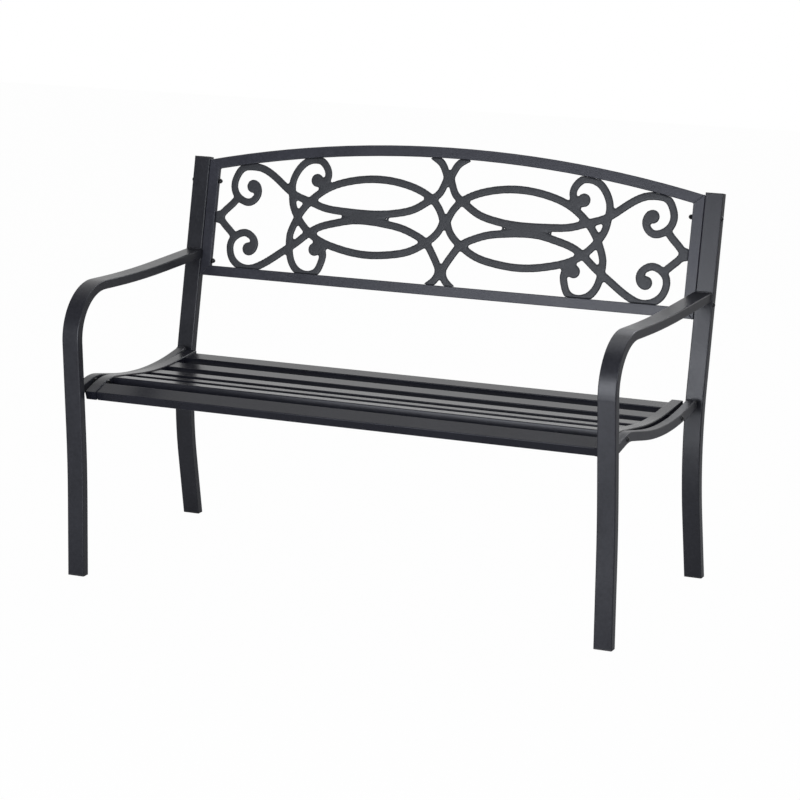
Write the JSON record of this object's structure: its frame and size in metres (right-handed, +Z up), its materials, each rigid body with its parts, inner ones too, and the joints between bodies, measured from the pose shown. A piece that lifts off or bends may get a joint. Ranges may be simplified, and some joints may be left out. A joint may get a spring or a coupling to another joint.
{
  "type": "park bench",
  "caption": "Steel tube park bench with a slatted dished seat, curved arms and an arched back filled with a cast scroll panel.",
  "frame": {"origin": "on the floor, in the middle of the bench's outer box", "axes": "+X to the right arm as seen from the front, +Y from the front feet towards the back, +Z up"},
  "size_m": [1.2856, 0.6486, 0.8812],
  "materials": {
    "frame_steel": "dark grey-black satin powder coat",
    "seat_steel": "dark grey-black satin powder coat",
    "back_steel": "dark grey-black satin powder coat",
    "scroll_casting": "dark painted casting, slightly rough",
    "fasteners": "black coated steel, semi-gloss",
    "plastic_caps": "black moulded plastic, matt"
  },
  "bodies": {
    "root": {"left_arm_front_leg": "frame_steel", "left_back_post": "frame_steel", "left_seat_side_rail": "frame_steel", "left_seat_end_bar": "seat_steel", "left_back_stile": "back_steel", "right_arm_front_leg": "frame_steel", "right_back_post": "frame_steel", "right_seat_side_rail": "frame_steel", "right_seat_end_bar": "seat_steel", "right_back_stile": "back_steel", "seat_slat_1": "seat_steel", "seat_slat_2": "seat_steel", "seat_slat_3": "seat_steel", "seat_slat_4": "seat_steel", "seat_slat_5": "seat_steel", "seat_slat_6": "seat_steel", "back_arch_rail": "back_steel", "back_bottom_rail": "back_steel", "scroll_panel": "scroll_casting", "back_bolts": "fasteners", "back_cap_nuts": "fasteners", "seat_bolts": "fasteners", "seat_nuts": "fasteners", "seat_spacers": "fasteners", "post_caps": "plastic_caps", "foot_plugs": "plastic_caps"}
  },
  "joints": []
}
